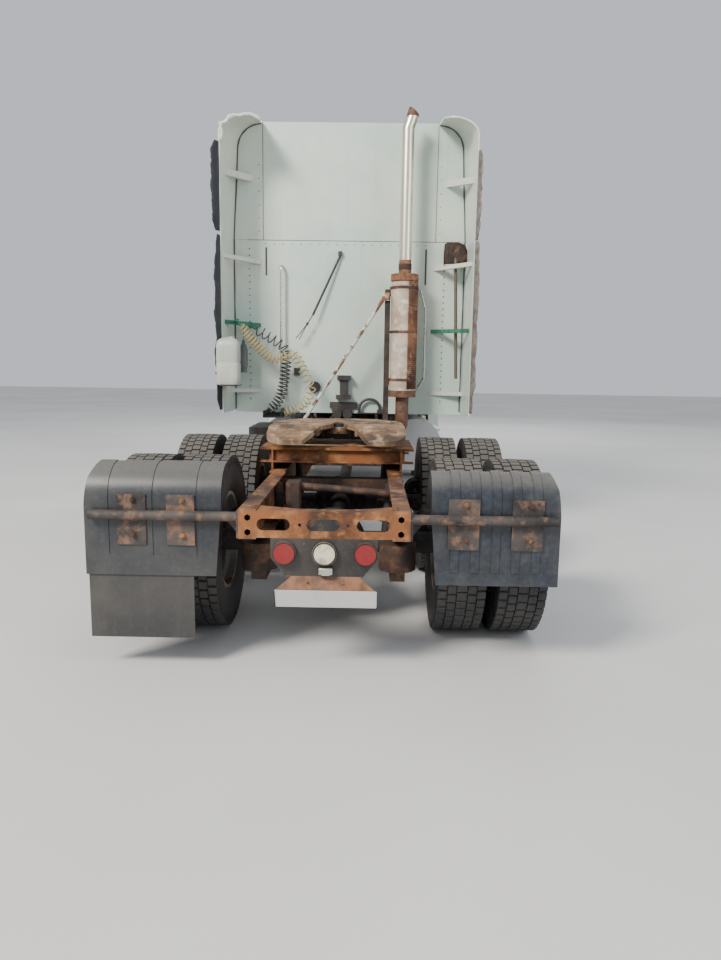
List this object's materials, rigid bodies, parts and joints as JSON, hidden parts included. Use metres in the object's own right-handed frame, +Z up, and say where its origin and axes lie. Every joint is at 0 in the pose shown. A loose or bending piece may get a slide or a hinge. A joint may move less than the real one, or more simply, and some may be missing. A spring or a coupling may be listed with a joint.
{
  "type": "semi truck tractor",
  "caption": "Long-nose road tractor unit with a high-roof sleeper, bare fifth wheel, twin drive axles and an upright exhaust; weathered.",
  "frame": {"origin": "on the ground, at the middle of the bounding box's footprint", "axes": "+X to the vehicle's right, +Y to its front, +Z up"},
  "size_m": [2.718, 8.398, 3.8848],
  "materials": {
    "cab_paint": "worn, dusty",
    "window_glass": "dusty",
    "lamp_glass": "clear",
    "red_lens": "sun-faded",
    "bright_metal": "dull",
    "rusty_steel": "rusty",
    "dark_steel": "dirty",
    "greasy_cast": "greasy",
    "engine_cast": "dusty",
    "radiator_metal": "matte",
    "black_plastic": "matte",
    "blank_plate": "blank",
    "guard_plastic": "dusty",
    "edge_rubber": "weathered",
    "tyre": "worn",
    "wheel_steel": "dirty",
    "tank_aluminium": "dull",
    "exhaust_steel": "heat-stained",
    "fitting_grey": "dusty",
    "jug_plastic": "translucent",
    "seat_fabric": "worn",
    "yellow_hose": "sun-faded",
    "black_hose": "dusty",
    "tender_steel": "dull"
  },
  "bodies": {
    "chassis": {"battery_box": "black_plastic", "bumper": "bright_metal", "cab_shell": "cab_paint", "coil_black": "black_hose", "coil_yellow": "yellow_hose", "crossmembers": "dark_steel", "dashboard": "black_plastic", "driveshafts": "dark_steel", "engine": "engine_cast", "exhaust_stack": "exhaust_steel", "extender_edges": "edge_rubber", "extender_struts": "dark_steel", "fifth_wheel_mount": "rusty_steel", "frame_rails": "rusty_steel", "front_axle": "dark_steel", "fuel_tanks": "tank_aluminium", "grab_handles": "bright_metal", "hose_tender": "tender_steel", "lamp_panel": "black_plastic", "licence_plate": "blank_plate", "mattress": "seat_fabric", "mud_flap": "edge_rubber", "mudguard_arms": "rusty_steel", "mudguards": "guard_plastic", "radiator": "radiator_metal", "rear_axles": "dark_steel", "rear_crossmember": "rusty_steel", "rear_suspension": "dark_steel", "seats": "seat_fabric", "side_extenders": "cab_paint", "sleeper_shell": "cab_paint", "stay_rod": "rusty_steel", "stowed_items": "jug_plastic", "tail_lamps": "red_lens", "wall_fittings": "fitting_grey", "windscreen": "window_glass"},
    "door_left": {"door_left": "cab_paint", "door_glass_left": "window_glass"},
    "knuckle_left": {"knuckle_left": "dark_steel"},
    "front_wheel_left": {"tyre_front_left": "tyre", "wheel_front_left": "wheel_steel"},
    "rear_wheels_left": {"tyres_rear_left": "tyre", "wheels_rear_left": "wheel_steel"},
    "fore_wheels_left": {"tyres_fore_left": "tyre", "wheels_fore_left": "wheel_steel"},
    "door_right": {"door_right": "cab_paint", "door_glass_right": "window_glass"},
    "knuckle_right": {"knuckle_right": "dark_steel"},
    "front_wheel_right": {"tyre_front_right": "tyre", "wheel_front_right": "wheel_steel"},
    "rear_wheels_right": {"tyres_rear_right": "tyre", "wheels_rear_right": "wheel_steel"},
    "fore_wheels_right": {"tyres_fore_right": "tyre", "wheels_fore_right": "wheel_steel"},
    "hood": {"hood": "cab_paint", "grille": "bright_metal", "headlamps": "lamp_glass"},
    "tie_rod": {"tie_rod": "dark_steel"},
    "steering_wheel": {"steering_wheel": "black_plastic"},
    "fifth_wheel": {"fifth_wheel_plate": "greasy_cast"}
  },
  "joints": [
    {"name": "steer_left", "type": "hinge", "parent": "chassis", "child": "knuckle_left", "pos_m": [-0.85, 2.995, 0.522], "axis": [0, 0, 1], "range_deg": [-35, 35]},
    {"name": "roll_front_left", "type": "hinge", "parent": "knuckle_left", "child": "front_wheel_left", "pos_m": [-1, 2.995, 0.522], "axis": [1, 0, 0], "continuous": true},
    {"name": "roll_fore_left", "type": "hinge", "parent": "chassis", "child": "fore_wheels_left", "pos_m": [-0.911, -2.045, 0.522], "axis": [1, 0, 0], "continuous": true},
    {"name": "roll_rear_left", "type": "hinge", "parent": "chassis", "child": "rear_wheels_left", "pos_m": [-0.911, -3.365, 0.522], "axis": [1, 0, 0], "continuous": true},
    {"name": "steer_right", "type": "hinge", "parent": "chassis", "child": "knuckle_right", "pos_m": [0.85, 2.995, 0.522], "axis": [0, 0, 1], "range_deg": [-35, 35]},
    {"name": "roll_front_right", "type": "hinge", "parent": "knuckle_right", "child": "front_wheel_right", "pos_m": [1, 2.995, 0.522], "axis": [1, 0, 0], "continuous": true},
    {"name": "roll_fore_right", "type": "hinge", "parent": "chassis", "child": "fore_wheels_right", "pos_m": [0.911, -2.045, 0.522], "axis": [1, 0, 0], "continuous": true},
    {"name": "roll_rear_right", "type": "hinge", "parent": "chassis", "child": "rear_wheels_right", "pos_m": [0.911, -3.365, 0.522], "axis": [1, 0, 0], "continuous": true},
    {"name": "door_right_swing", "type": "hinge", "parent": "chassis", "child": "door_right", "pos_m": [1.02811, 2.203, 1.65], "axis": [0, 0, 1], "range_deg": [0, 70]},
    {"name": "door_left_swing", "type": "hinge", "parent": "chassis", "child": "door_left", "pos_m": [-1.02811, 2.203, 1.65], "axis": [0, 0, -1], "range_deg": [0, 70]},
    {"name": "hood_tilt", "type": "hinge", "parent": "chassis", "child": "hood", "pos_m": [0, 4.11, 0.7], "axis": [-1, 0, 0], "range_deg": [0, 80]},
    {"name": "tie_rod_end", "type": "hinge", "parent": "knuckle_left", "child": "tie_rod", "pos_m": [-0.85, 2.815, 0.382], "axis": [0, 0, 1], "range_deg": [-35, 35]},
    {"name": "steering_wheel_turn", "type": "hinge", "parent": "chassis", "child": "steering_wheel", "pos_m": [-0.48, 1.94, 1.915], "axis": [0, -0.6157, 0.788], "range_deg": [-600, 600]},
    {"name": "fifth_wheel_tilt", "type": "hinge", "parent": "chassis", "child": "fifth_wheel", "pos_m": [0, -2.5, 1.09], "axis": [1, 0, 0], "range_deg": [-12, 12]}
  ],
  "couplings": [
    {"joint": "steer_right", "follows": "steer_left", "ratio": 1},
    {"joint": "tie_rod_end", "follows": "steer_left", "ratio": -1},
    {"joint": "steering_wheel_turn", "follows": "steer_left", "ratio": 17}
  ]
}
